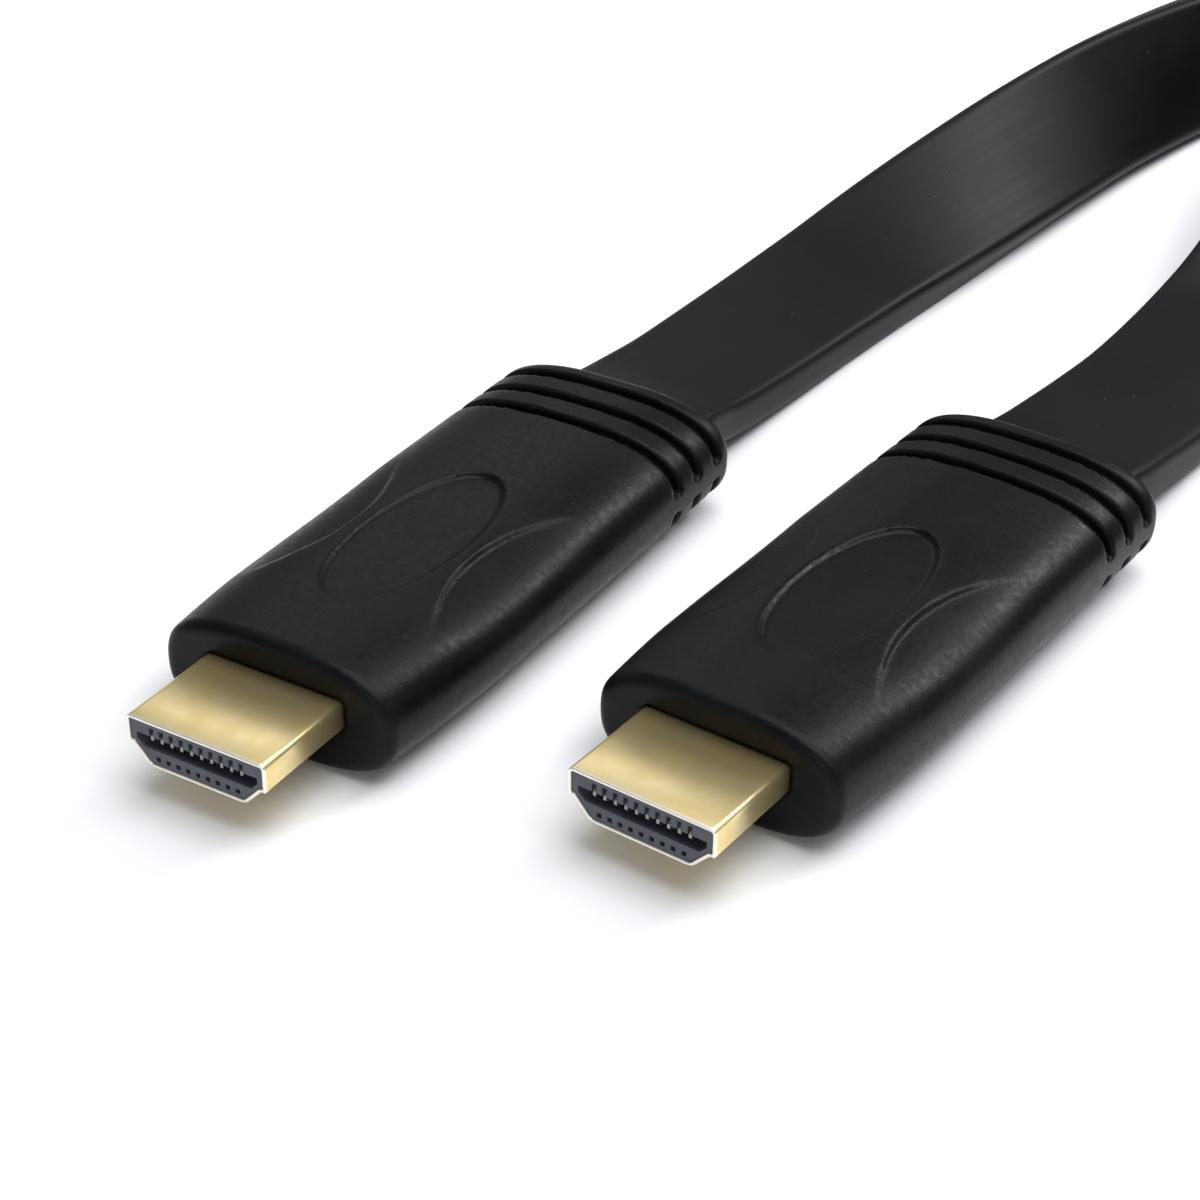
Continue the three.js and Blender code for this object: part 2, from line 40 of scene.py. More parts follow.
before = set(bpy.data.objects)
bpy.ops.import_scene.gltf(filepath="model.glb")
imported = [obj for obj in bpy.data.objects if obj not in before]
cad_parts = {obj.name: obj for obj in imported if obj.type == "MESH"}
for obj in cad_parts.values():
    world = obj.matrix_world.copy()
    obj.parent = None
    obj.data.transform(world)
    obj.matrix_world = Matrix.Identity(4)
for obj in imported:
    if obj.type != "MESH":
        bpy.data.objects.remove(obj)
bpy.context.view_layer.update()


class Slot(Enum):
    """The record's material slots."""

    OVERMOULD = "overmould"
    RIBBON = "ribbon"
    GOLD = "gold_plate"
    INSULATOR = "insulator"
    CONTACT = "contact"
    STRAP = "strap"


# Shader maths


class Signal:
    """A shader socket on which Python's operators work."""

    def __init__(self, graph: "Graph", socket: bpy.types.NodeSocket) -> None:
        """Wraps a socket.

        Args:
            graph: The graph that the socket belongs to.
            socket: The output socket.
        """
        self.graph = graph
        self.socket = socket

    def math(self, operation: str, *others: Any, swap: bool = False) -> "Signal":
        """Adds a Math node.

        Args:
            operation: The node's operation.
            others: The other values, as signals or numbers.
            swap: Puts the other value first.

        Returns:
            The node's result.
        """
        values = [self, *others]
        if swap:
            values.reverse()
        return self.graph.add("ShaderNodeMath", {"operation": operation}, *values)

    def __add__(self, other: Any) -> "Signal":
        """Sum."""
        return self.math("ADD", other)

    __radd__ = __add__

    def __sub__(self, other: Any) -> "Signal":
        """Difference."""
        return self.math("SUBTRACT", other)

    def __rsub__(self, other: Any) -> "Signal":
        """Difference, turned round."""
        return self.math("SUBTRACT", other, swap=True)

    def __mul__(self, other: Any) -> "Signal":
        """Product."""
        return self.math("MULTIPLY", other)

    __rmul__ = __mul__

    def __pow__(self, other: Any) -> "Signal":
        """Power."""
        return self.math("POWER", other)

    def between(self, low: float, high: float, start: float = 0.0, end: float = 1.0) -> "Signal":
        """Maps a stretch of values smoothly to another, and holds it outside.

        Args:
            low: Where the stretch starts.
            high: Where it ends.
            start: The result at low.
            end: The result at high.

        Returns:
            The mapped signal.
        """
        return self.graph.add("ShaderNodeMapRange", {"interpolation_type": "SMOOTHSTEP"}, self, low, high, start, end)


class Graph:
    """A material's node tree."""

    def __init__(self, name: str) -> None:
        """Starts a material that holds a Principled shader.

        Args:
            name: The material's name.
        """
        self.material = bpy.data.materials.new(name)
        self.material.use_nodes = True
        self.nodes = self.material.node_tree.nodes
        self.links = self.material.node_tree.links
        self.shader = self.nodes["Principled BSDF"]

    def put(self, socket: bpy.types.NodeSocket, value: Any) -> None:
        """Links a signal to a socket, or sets its number or colour.

        Args:
            socket: The input socket.
            value: A signal, number, vector or colour.
        """
        if isinstance(value, Signal):
            self.links.new(value.socket, socket)
        elif isinstance(value, tuple) and len(value) == 3 and len(socket.default_value) == 4:
            socket.default_value = (*value, 1.0)
        else:
            socket.default_value = value

    def add(self, kind: str, settings: dict[str, Any], *values: Any, out: Any = 0, **named: Any) -> Signal:
        """Adds a node.

        Args:
            kind: The node's type.
            settings: Its settings, which are set first. "stops" fills a colour ramp.
            values: The values or links of its first sockets, in order.
            out: The name or number of the output that is wanted.
            named: Values by socket name, with _ for a space.

        Returns:
            The wanted output.
        """
        node = self.nodes.new(kind)
        stops = settings.get("stops")
        for key, value in settings.items():
            if key != "stops":
                setattr(node, key, value)
        if stops:
            ramp = node.color_ramp.elements
            while len(ramp) < len(stops):
                ramp.new(0.5)
            for element, (place, colour) in zip(ramp, stops):
                element.position = place
                element.color = (*colour, 1.0)
        for socket, value in zip(node.inputs, values):
            self.put(socket, value)
        for key, value in named.items():
            self.put(node.inputs[key.replace("_", " ")], value)
        return Signal(self, node.outputs[out])

    def place(self) -> Signal:
        """The point on the piece, in metres."""
        return self.add("ShaderNodeTexCoord", {}, out="Object")

    def noise(self, at: Signal, scale: float, detail: float = 2.0, rough: float = 0.5) -> Signal:
        """Cloudy noise from 0 to 1.

        Args:
            at: Where it is read.
            scale: Clouds to the metre.
            detail: Octaves.
            rough: How much the fine octaves weigh.

        Returns:
            The noise.
        """
        return self.add("ShaderNodeTexNoise", {}, out="Fac", Vector=at, Scale=scale, Detail=detail, Roughness=rough)

    def stretched(self, at: Signal, scale: tuple[float, float, float]) -> Signal:
        """A point with its axes scaled."""
        return self.add("ShaderNodeMapping", {}, Vector=at, Scale=scale)

    def mix(self, share: Any, low: Any, high: Any) -> Signal:
        """Mixes two colours.

        Args:
            share: How much of the second colour shows.
            low: The first colour.
            high: The second colour.

        Returns:
            The colour.
        """
        node = self.nodes.new("ShaderNodeMix")
        node.data_type = "RGBA"
        self.put(node.inputs[0], share)
        self.put(node.inputs[6], low)
        self.put(node.inputs[7], high)
        return Signal(self, node.outputs[2])

    def bump(self, height: Signal, depth: float, strength: float = 1.0) -> Signal:
        """Turns a height into a normal.

        Args:
            height: The height, from 0 to 1.
            depth: What 1 stands for, in metres.
            strength: The share of the effect.

        Returns:
            The normal.
        """
        return self.add("ShaderNodeBump", {}, out="Normal", Strength=strength, Distance=depth, Height=height)

    def surface(self, **named: Any) -> bpy.types.Material:
        """Sets the shader's sockets.

        Args:
            named: Values by socket name, with _ for a space.

        Returns:
            The finished material.
        """
        for key, value in named.items():
            self.put(self.shader.inputs[key.replace("_", " ")], value)
        return self.material


# Finishes


@dataclass(frozen=True)
class MouldedVinyl:
    """Satin black moulded vinyl with a fine grain and a little lint."""

    name: str = "moulded_vinyl"
    dark: tuple[float, float, float] = (0.0028, 0.003, 0.0038)
    pale: tuple[float, float, float] = (0.0056, 0.006, 0.0072)
    lint: tuple[float, float, float] = (0.09, 0.1, 0.11)
    grain: float = 5200.0
    grain_depth: float = 0.00006
    roughness: float = 0.38

    def build(self) -> bpy.types.Material:
        """The material."""
        g = Graph(self.name)
        at = g.place()
        clouds = g.noise(at, 90.0, 3.0)
        grain = g.noise(at, self.grain, 2.0, 0.6)
        pores = g.noise(at, self.grain * 0.3, 2.0)
        specks = g.add("ShaderNodeTexVoronoi", {"feature": "F1"}, out="Distance", Vector=at, Scale=650.0)
        lint = specks.between(0.06, 0.03) * g.noise(at, 210.0, 0.0).between(0.56, 0.62)
        base = g.mix(clouds.between(0.35, 0.65), self.dark, self.pale)
        gloss = self.roughness + (clouds - 0.5) * 0.2 + (pores - 0.5) * 0.3
        height = grain * 0.4 + pores * 0.6
        return g.surface(
            Base_Color=g.mix(lint * 0.8, base, self.lint),
            Roughness=gloss + lint * 0.3,
            Normal=g.bump(height, self.grain_depth, 0.55),
            Specular_IOR_Level=0.13,
        )


@dataclass(frozen=True)
class ExtrudedVinyl:
    """Satin black ribbon jacket: drawn lines along its length, fine grain and lint."""

    name: str = "extruded_vinyl"
    dark: tuple[float, float, float] = (0.0036, 0.0038, 0.0044)
    pale: tuple[float, float, float] = (0.007, 0.0074, 0.0084)
    lint: tuple[float, float, float] = (0.1, 0.105, 0.11)
    roughness: float = 0.44

    def build(self) -> bpy.types.Material:
        """The material."""
        g = Graph(self.name)
        at = g.place()
        along = g.add("ShaderNodeAttribute", {"attribute_name": "run"}, out="Vector")
        streaks = g.noise(g.stretched(along, (8.0, 900.0, 900.0)), 1.0, 3.0, 0.6)
        clouds = g.noise(at, 60.0, 3.0)
        grain = g.noise(at, 4200.0, 2.0, 0.6)
        specks = g.add("ShaderNodeTexVoronoi", {"feature": "F1"}, out="Distance", Vector=at, Scale=600.0)
        lint = specks.between(0.07, 0.03) * g.noise(at, 160.0, 0.0).between(0.54, 0.6)
        base = g.mix(clouds.between(0.35, 0.65), self.dark, self.pale)
        gloss = self.roughness + (clouds - 0.5) * 0.2 + (streaks - 0.5) * 0.12
        return g.surface(
            Base_Color=g.mix(lint, base, self.lint),
            Roughness=gloss + lint * 0.3,
            Normal=g.bump(grain * 0.6 + streaks * 0.4, 0.00003, 0.5),
            Specular_IOR_Level=0.13,
        )


@dataclass(frozen=True)
class GoldPlate:
    """Polished gold plate on folded sheet, drawn along the plug, with faint handling marks and a painted highlight
    that whitens the front rim.
    """

    name: str = "gold_plate"
    bright: tuple[float, float, float] = (0.97, 0.8, 0.43)
    deep: tuple[float, float, float] = (0.87, 0.68, 0.3)
    # Near-white colour of the painted highlight on the shell's rounded front rim.
    rim: tuple[float, float, float] = (0.97, 0.95, 0.88)

    def build(self) -> bpy.types.Material:
        """The material."""
        g = Graph(self.name)
        at = g.place()
        own = g.add("ShaderNodeAttribute", {"attribute_name": "own"}, out="Vector")
        brushed = g.noise(g.stretched(own, (9000.0, 260.0, 9000.0)), 1.0, 3.0, 0.6)
        smear = g.noise(at, 260.0, 3.0)
        reach = g.add("ShaderNodeSeparateXYZ", {}, own, out="Y")
        # Painted highlight mask: full within 0.12 mm of the shell's front edge, fading out by 0.32 mm.
        rim = reach.between(0.00012, 0.00032, 1.0, 0.0)
        plate = g.mix(smear.between(0.3, 0.7), self.bright, self.deep)
        return g.surface(
            Base_Color=g.mix(rim * 0.85, plate, self.rim),
            Metallic=0.85,
            Roughness=0.33 + (brushed - 0.5) * 0.14 + (smear - 0.5) * 0.16,
            Normal=g.bump(brushed, 0.000004, 0.35),
        )


@dataclass(frozen=True)
class MouldedPlastic:
    """Blue-grey insulator plastic with a fine matte texture."""

    name: str = "insulator_plastic"
    dark: tuple[float, float, float] = (0.05, 0.055, 0.072)
    pale: tuple[float, float, float] = (0.085, 0.092, 0.115)

    def build(self) -> bpy.types.Material:
        """The material."""
        g = Graph(self.name)
        at = g.place()
        clouds = g.noise(at, 700.0, 3.0)
        grain = g.noise(at, 9000.0, 2.0)
        return g.surface(
            Base_Color=g.mix(clouds, self.dark, self.pale),
            Roughness=0.42 + (grain - 0.5) * 0.2,
            Normal=g.bump(grain, 0.00001, 0.5),
        )


@dataclass(frozen=True)
class ContactPlate:
    """Bright plated spring strip."""

    name: str = "contact_plate"

    def build(self) -> bpy.types.Material:
        """The material."""
        g = Graph(self.name)
        wear = g.noise(g.place(), 4000.0, 2.0)
        return g.surface(
            Base_Color=g.mix(wear, (0.42, 0.41, 0.4), (0.26, 0.24, 0.22)),
            Metallic=1.0,
            Roughness=0.4 + wear * 0.2,
        )


@dataclass(frozen=True)
class WovenStrap:
    """Black woven strap with a hooked pile."""

    name: str = "woven_strap"

    def build(self) -> bpy.types.Material:
        """The material."""
        g = Graph(self.name)
        at = g.place()
        pile = g.add("ShaderNodeTexVoronoi", {"feature": "F1"}, out="Distance", Vector=at, Scale=2600.0)
        fuzz = g.noise(at, 900.0, 3.0)
        return g.surface(
            Base_Color=g.mix(pile.between(0.1, 0.7), (0.011, 0.011, 0.012), (0.003, 0.003, 0.0035)),
            Roughness=0.82 + (fuzz - 0.5) * 0.2,
            Sheen_Weight=0.08,
            Specular_IOR_Level=0.13,
            Normal=g.bump(pile * 0.7 + fuzz * 0.3, 0.00025, 0.8),
        )


@dataclass(frozen=True)
class StudioFloor:
    """Plain pale floor."""

    name: str = "studio_floor"

    def build(self) -> bpy.types.Material:
        """The material."""
        g = Graph(self.name)
        return g.surface(Base_Color=(0.93, 0.94, 0.96), Roughness=0.6, Specular_IOR_Level=0.2)


# Mesh making


def loft(rings: Sequence[Ring], caps: bool = True, loop: bool = False) -> bmesh.types.BMesh:
    """Extrudes a closed ring from place to place.

    Args:
        rings: The places of the ring's corners, ring after ring.
        caps: Closes the first and last ring.
        loop: Joins the last ring to the first.

    Returns:
        The shape.
    """
    bm = bmesh.new()
    first = [bm.verts.new(spot) for spot in rings[0]]
    edges = [bm.edges.new((first[i - 1], first[i])) for i in range(len(first))]
    before = first
    for ring in rings[1:]:
        grown = bmesh.ops.extrude_edge_only(bm, edges=edges)["geom"]
        fresh = {item for item in grown if isinstance(item, bmesh.types.BMVert)}
        edges = [item for item in grown if isinstance(item, bmesh.types.BMEdge) and fresh.issuperset(item.verts)]
        after = [next(e.other_vert(old) for e in old.link_edges if e.other_vert(old) in fresh) for old in before]
        for vert, spot in zip(after, ring):
            vert.co = spot
        before = after
    if caps:
        bm.faces.new(first)
        bm.faces.new(before)
    if loop:
        ends = [e for e in bm.edges if e.is_boundary]
        bmesh.ops.bridge_loops(bm, edges=ends)
    bmesh.ops.recalc_face_normals(bm, faces=bm.faces)
    return bm


def box(low: Sequence[float], high: Sequence[float]) -> bmesh.types.BMesh:
    """A block between two corners."""
    bm = bmesh.new()
    middle = [(a + b) / 2 for a, b in zip(low, high)]
    size = [b - a for a, b in zip(low, high)]
    bmesh.ops.create_cube(bm, size=1.0, matrix=Matrix.Translation(middle) @ Matrix.Diagonal((*size, 1.0)))
    return bm


def joined(parts: Iterable[bmesh.types.BMesh]) -> bmesh.types.BMesh:
    """Puts several shapes in one and frees them."""
    whole = bmesh.new()
    for part in parts:
        spare = bpy.data.meshes.new("spare")
        part.to_mesh(spare)
        part.free()
        whole.from_mesh(spare)
        bpy.data.meshes.remove(spare)
    return whole


def as_object(bm: bmesh.types.BMesh, name: str) -> bpy.types.Object:
    """Makes an object of a shape and frees the shape."""
    mesh = bpy.data.meshes.new(name)
    bm.to_mesh(mesh)
    bm.free()
    piece = bpy.data.objects.new(name, mesh)
    bpy.context.scene.collection.objects.link(piece)
    return piece


def baked(piece: bpy.types.Object) -> bpy.types.Mesh:
    """Applies an object's modifiers, deletes the object and returns the mesh."""
    bpy.context.view_layer.update()
    graph = bpy.context.evaluated_depsgraph_get()
    mesh = bpy.data.meshes.new_from_object(piece.evaluated_get(graph))
    bpy.data.objects.remove(piece)
    return mesh


def modify(piece: bpy.types.Object, kind: str, **settings: Any) -> bpy.types.Modifier:
    """Adds a modifier with its settings."""
    modifier = piece.modifiers.new(kind.lower(), kind)
    for key, value in settings.items():
        setattr(modifier, key, value)
    return modifier


def carved(block: bmesh.types.BMesh, cutters: Sequence[bmesh.types.BMesh], **after: dict[str, Any]) -> bpy.types.Mesh:
    """Cuts shapes out of a block and runs further modifiers on it.

    Args:
        block: The block.
        cutters: The shapes to take away.
        after: Further modifiers by type, with their settings.

    Returns:
        The mesh.
    """
    piece = as_object(block, "carved")
    tools = [as_object(cutter, "cutter") for cutter in cutters]
    for tool in tools:
        modify(piece, "BOOLEAN", operation="DIFFERENCE", solver="EXACT", use_self=True, object=tool)
    for kind, settings in after.items():
        modify(piece, kind, **settings)
    mesh = baked(piece)
    for tool in tools:
        bpy.data.objects.remove(tool)
    return mesh


def rounded(corners: Sequence[tuple[float, float]], radius: float, steps: int = 6) -> list[tuple[float, float]]:
    """Rounds a polygon's corners with arcs.

    Args:
        corners: The polygon's corners.
        radius: The distance from a corner to where its arc starts, at most.
        steps: Steps to an arc.

    Returns:
        The outline.
    """
    outline = []
    count = len(corners)
    for i, corner in enumerate(corners):
        here, before, after = Vector(corner), Vector(corners[i - 1]), Vector(corners[(i + 1) % count])
        cut = min(radius, (before - here).length * 0.47, (after - here).length * 0.47)
        start = here + (before - here).normalized() * cut
        end = here + (after - here).normalized() * cut
        for k in range(steps + 1):
            t = k / steps
            spot = start * (1 - t) ** 2 + here * 2 * t * (1 - t) + end * t**2
            outline.append((spot.x, spot.y))
    return outline


def inset(corners: Sequence[tuple[float, float]], distance: float) -> list[tuple[float, float]]:
    """Moves a polygon's sides inwards.

    Args:
        corners: The corners, anticlockwise.
        distance: How far the sides move.

    Returns:
        The new corners.
    """
    result = []
    count = len(corners)
    for i, corner in enumerate(corners):
        here = Vector(corner)
        arriving = (here - Vector(corners[i - 1])).normalized()
        leaving = (Vector(corners[(i + 1) % count]) - here).normalized()
        in_a = Vector((-arriving.y, arriving.x))
        in_b = Vector((-leaving.y, leaving.x))
        spot = here + (in_a + in_b) * (distance / (1 + in_a.dot(in_b)))
        result.append((spot.x, spot.y))
    return result


# Places


@dataclass(frozen=True)
class PlugPlace:
    """Where a plug lies and how far it is turned, in millimetres and degrees."""

    label: str
    x: float
    y: float
    turn: float

    def matrix(self) -> Matrix:
        """Takes the plug's own millimetres to the row's metres."""
        turned = Matrix.Rotation(math.radians(self.turn), 4, "Z")
        return Matrix.Scale(MM, 4) @ Matrix.Translation((self.x, self.y, 0.0)) @ turned


PLUGS = (PlugPlace("plug_a", -16.7, -40.05, 2.4), PlugPlace("plug_b", 16.7, -26.65, -2.4))


def publish(
    mesh: bpy.types.Mesh, name: str, finish: bpy.types.Material, stands_for: Sequence[str]
) -> bpy.types.Object:
    """Makes a finished piece of a mesh that is already in its place.

    Args:
        mesh: The mesh, in the row's metres.
        name: The piece's name.
        finish: The material.
        stands_for: The CAD nodes that it replaces.

    Returns:
        The piece.
    """
    mesh.name = name
    mesh.materials.clear()
    mesh.materials.append(finish)
    mesh.shade_smooth()
    piece = bpy.data.objects.new(name, mesh)
    bpy.context.scene.collection.objects.link(piece)
    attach(piece, "root")
    if stands_for:
        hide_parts(*stands_for)
    LOG.info("%s: %d faces", name, len(mesh.polygons))
    return piece


# The camera, the light and the floor


@dataclass(frozen=True)
class Studio:
    """Camera at the photograph's angle, soft light and a pale floor, in millimetres and degrees."""

    target: tuple[float, float, float] = (-7.14, 4.11, 0.93)
    distance: float = 227.4
    azimuth: float = 32.9
    elevation: float = 32.62
    roll: float = 0.736
    focal_pixels: float = 2491.0
    frame_pixels: float = 1200.0
    sensor: float = 36.0
    world_colour: tuple[float, float, float] = (0.88, 0.92, 1.0)
    world_strength: float = 0.27

    def camera(self) -> bpy.types.Object:
        """Makes the camera and sets it as the scene's own.

        Returns:
            The camera.
        """
        data = bpy.data.cameras.new("camera")
        data.sensor_fit = "HORIZONTAL"
        data.sensor_width = self.sensor
        data.lens = self.sensor * self.focal_pixels / self.frame_pixels
        data.clip_start = 0.01
        camera = bpy.data.objects.new("camera", data)
        bpy.context.scene.collection.objects.link(camera)
        turn = math.radians(self.azimuth)
        rise = math.radians(self.elevation)
        back = Vector((math.sin(turn) * math.cos(rise), -math.cos(turn) * math.cos(rise), math.sin(rise)))
        place = (Vector(self.target) + back * self.distance) * MM
        aim = back.to_track_quat("Z", "Y").to_matrix().to_4x4()
        camera.matrix_world = Matrix.Translation(place) @ aim @ Matrix.Rotation(math.radians(self.roll), 4, "Z")
        bpy.context.scene.camera = camera
        bpy.context.scene.view_settings.view_transform = "Standard"
        return camera

    def light(self, name: str, place: Sequence[float], size: tuple[float, float], watts: float) -> None:
        """Adds a soft box that faces the plugs.

        Args:
            name: The light's name.
            place: Its place in metres.
            size: Its width and height in metres.
            watts: Its power.
        """
        data = bpy.data.lights.new(name, "AREA")
        data.shape = "RECTANGLE"
        data.size, data.size_y = size
        data.energy = watts
        lamp = bpy.data.objects.new(name, data)
        bpy.context.scene.collection.objects.link(lamp)
        aim = (Vector(place) - Vector((0.0, 0.0, 0.0))).to_track_quat("Z", "Y").to_matrix().to_4x4()
        lamp.matrix_world = Matrix.Translation(place) @ aim

    def lights(self) -> None:
        """Adds the soft boxes and the pale surroundings."""
        self.light("top_box", (0.2, 0.15, 1.0), (1.1, 0.9), 11.5)
        self.light("right_box", (0.36, 0.88, 0.72), (0.3, 0.25), 4.0)
        self.light("left_box", (-0.75, 0.9, 0.75), (0.5, 0.25), 0.6)
        self.light("front_box", (0.3, -0.9, 0.45), (0.6, 0.3), 1.0)
        world = bpy.data.worlds.new("surroundings")
        world.use_nodes = True
        background = world.node_tree.nodes["Background"]
        background.inputs["Color"].default_value = (*self.world_colour, 1.0)
        background.inputs["Strength"].default_value = self.world_strength
        bpy.context.scene.world = world

    def floor(self) -> None:
        """Lays the floor."""
        bm = bmesh.new()
        bmesh.ops.create_grid(bm, x_segments=1, y_segments=1, size=6.0)
        floor = as_object(bm, "floor")
        floor.data.materials.append(StudioFloor().build())


# The plug's parts


@dataclass
class PlugSizes:
    """Sizes that the plug's parts share, in millimetres."""

    front: float = 10.3
    rear: float = 66.6
    height: float = 11.0
    shell_width: float = 13.9
    shell_height: float = 4.45
    shell_side: float = 2.67
    shell_step: float = 0.5
    shell_floor: float = 9.62
    shell_corner: float = 0.55
    wall: float = 0.3
    shell_root: float = 3.5

    @property
    def shell_top(self) -> float:
        """Height of the shell's top."""
        return self.height / 2 + self.shell_height / 2

    def shell_corners(self) -> list[tuple[float, float]]:
        """Corners of the shell's outside, anticlockwise."""
        side, floor = self.shell_width / 2, self.shell_floor / 2
        shoulder, bottom = self.shell_top - self.shell_side, self.shell_top - self.shell_height
        return [
            (side, self.shell_top), (-side, self.shell_top), (-side, shoulder), (-side + self.shell_step, shoulder),
            (-floor, bottom), (floor, bottom), (side - self.shell_step, shoulder), (side, shoulder),
        ]

    def shell_outline(self, distance: float, steps: int = 6) -> list[tuple[float, float]]:
        """The shell's outline, moved inwards by a distance, with rounded corners."""
        return rounded(inset(self.shell_corners(), distance), max(self.shell_corner - distance, 0.15), steps)


@dataclass
class Overmould:
    """The moulded body: a crowned block with an oval recess, thumb scoops and grooves."""

    sizes: PlugSizes
    front_half: float = 11.6
    full_half: float = 12.8
    swell: float = 20.0
    roundness: float = 2.68
    crown: float = 0.05
    front_round: float = 1.0
    rear_round: float = 1.9
    oval: tuple[float, float, float] = (24.0, 10.0, 0.45)
    oval_centre: float = 31.0
    scoop_length: float = 23.0
    scoop_waist: float = 12.6
    scoop_radius: float = 22.0
    scoop_step: float = 0.5
    scoop_centre: float = 30.7
    groove_ys: tuple[float, ...] = (55.64, 59.42, 63.2)
    groove_width: float = 1.25
    groove_depth: float = 1.1
    groove_spine: float = 1.6
    voxel: float = 0.25
    points: int = 160

    def section(self, half: float, tall: float) -> list[tuple[float, float]]:
        """The superellipse of the cross-section about the body's middle, anticlockwise.

        Args:
            half: Half its width.
            tall: Half its height, at which it is cut flat.

        Returns:
            Points in x and z.
        """
        points = []
        for k in range(self.points):
            turn = 2 * math.pi * k / self.points
            x, z = math.cos(turn), math.sin(turn)
            x = math.copysign(abs(x) ** (2 / self.roundness), x) * half
            z = math.copysign(abs(z) ** (2 / self.roundness), z) * (tall + self.crown)
            points.append((x, max(-tall, min(tall, z))))
        return points

    def stations(self) -> list[tuple[float, float]]:
        """Places along the body, each with how far the section is drawn in for the rounded ends."""
        front, rear = self.sizes.front, self.sizes.rear
        quarter = [math.radians(90.0 * k / 8) for k in range(9)]
        places = [
            (front + self.front_round * (1 - math.cos(a)), self.front_round * (1 - math.sin(a))) for a in quarter
        ]
        start, end = front + self.front_round, rear - self.rear_round
        places += [(start + (end - start) * k / 48, 0.0) for k in range(1, 49)]
        places += [(end + self.rear_round * math.sin(a), self.rear_round * (1 - math.cos(a))) for a in quarter[1:]]
        return places

    def block(self, lowering: float = 0.0) -> bmesh.types.BMesh:
        """The body before anything is cut into it.

        Args:
            lowering: How far its top and underside sink in the middle of the scoops.

        Returns:
            The block.
        """
        rings = []
        middle = self.sizes.height / 2
        for y, drawn_in in self.stations():
            share = min(max((y - self.sizes.front) / self.swell, 0.0), 1.0)
            half = self.front_half + (self.full_half - self.front_half) * (1 - (1 - share) ** 2)
            apart = (y - self.scoop_centre) / (self.scoop_length / 2)
            sunk = lowering * max(0.0, 1 - apart**2)
            ring = self.section(half - drawn_in, middle - drawn_in - sunk)
            rings.append([Vector((x, y, middle + z)) for x, z in ring])
        return loft(rings)

    def groove(self, y: float, side: int) -> bmesh.types.BMesh:
        """A cutter that follows the section over the top or along the underside, from spine to spine."""
        middle, spine = self.sizes.height / 2, self.groove_spine / 2
        inner = self.section(self.full_half - self.groove_depth, middle - self.groove_depth)
        outer = self.section(self.full_half + 1.5, middle + 1.5)
        kept = [(i, o) for i, o in zip(inner, outer) if i[1] * side > spine]
        (first_in, first_out), (last_in, last_out) = kept[0], kept[-1]
        kept = [
            ((first_in[0], spine * side), (first_out[0], spine * side)), *kept,
            ((last_in[0], spine * side), (last_out[0], spine * side)),
        ]
        low, high = y - self.groove_width / 2, y + self.groove_width / 2
        rings = [
            [
                Vector((ix, low, middle + iz)), Vector((ix, high, middle + iz)),
                Vector((ox, high, middle + oz)), Vector((ox, low, middle + oz)),
            ]
            for (ix, iz), (ox, oz) in kept
        ]
        return loft(rings)

    def oval_cutter(self) -> bmesh.types.BMesh:
        """The cutter of the oval recess, with walls that lean out a little."""
        long, wide, deep = self.oval
        bm = bmesh.new()
        bmesh.ops.create_cone(
            bm, cap_ends=True, segments=128, radius1=0.5, radius2=0.53, depth=4.0,
            matrix=Matrix.Translation((0, self.oval_centre, self.sizes.height - deep + 2.0))
            @ Matrix.Diagonal((wide, long, 1.0, 1.0)),
        )
        return bm

    def scoop_cutter(self) -> bpy.types.Mesh:
        """The cutter of the thumb scoops: two round columns less a block that sinks between them."""
        middle, tall = self.sizes.height / 2, self.sizes.height
        columns = []
        for side in (-1, 1):
            column = bmesh.new()
            bmesh.ops.create_cone(
                column, cap_ends=True, segments=360, radius1=self.scoop_radius, radius2=self.scoop_radius, depth=tall,
                matrix=Matrix.Translation(
                    (side * (self.scoop_waist / 2 + self.scoop_radius), self.scoop_centre, middle + tall / 2)
                ),
            )
            columns.append(column)
        half = self.scoop_length / 2
        ends = [
            box((-60, low, -1), (60, high, 2 * tall + 1))
            for low, high in ((0, self.scoop_centre - half), (self.scoop_centre + half, 80))
        ]
        return carved(joined(columns), [*ends, self.block(self.scoop_step)])

    def pocket(self) -> bmesh.types.BMesh:
        """The cutter of the pocket that holds the shell."""
        outline = self.sizes.shell_outline(-0.06)
        ends = (self.sizes.front - 1.0, self.sizes.front + self.sizes.shell_root + 0.3)
        return loft([[Vector((x, y, z)) for x, z in outline] for y in ends])

    def mesh(self) -> bpy.types.Mesh:
        """The finished body in the plug's own millimetres."""
        scoops = bmesh.new()
        scoops.from_mesh(self.scoop_cutter())
        cutters = [self.groove(y, side) for y in self.groove_ys for side in (-1, 1)]
        cutters += [scoops, self.oval_cutter(), self.pocket()]
        return carved(
            self.block(), cutters,
            REMESH={"mode": "VOXEL", "voxel_size": self.voxel},
            SMOOTH={"factor": 0.5, "iterations": 1},
        )


@dataclass
class Shell:
    """The folded sheet-metal shell with its rounded front rim."""

    sizes: PlugSizes
    rim: float = 0.11

    def mesh(self) -> bpy.types.Mesh:
        """The shell in the plug's own millimetres."""
        wall, rim = self.sizes.wall, self.rim
        back = self.sizes.front + self.sizes.shell_root
        turns = [math.radians(90.0 * k / 4) for k in range(5)]
        inside = [(wall - rim * (1 - math.sin(a)), rim * (1 - math.cos(a))) for a in reversed(turns)]
        outside = [(rim * (1 - math.sin(a)), rim * (1 - math.cos(a))) for a in turns]
        path = [(wall, back), *[(d, y) for d, y in inside], *outside, (0.0, back)]
        rings = [[Vector((x, y, z)) for x, z in self.sizes.shell_outline(d)] for d, y in path]
        return baked(as_object(loft(rings, caps=False, loop=True), "shell"))


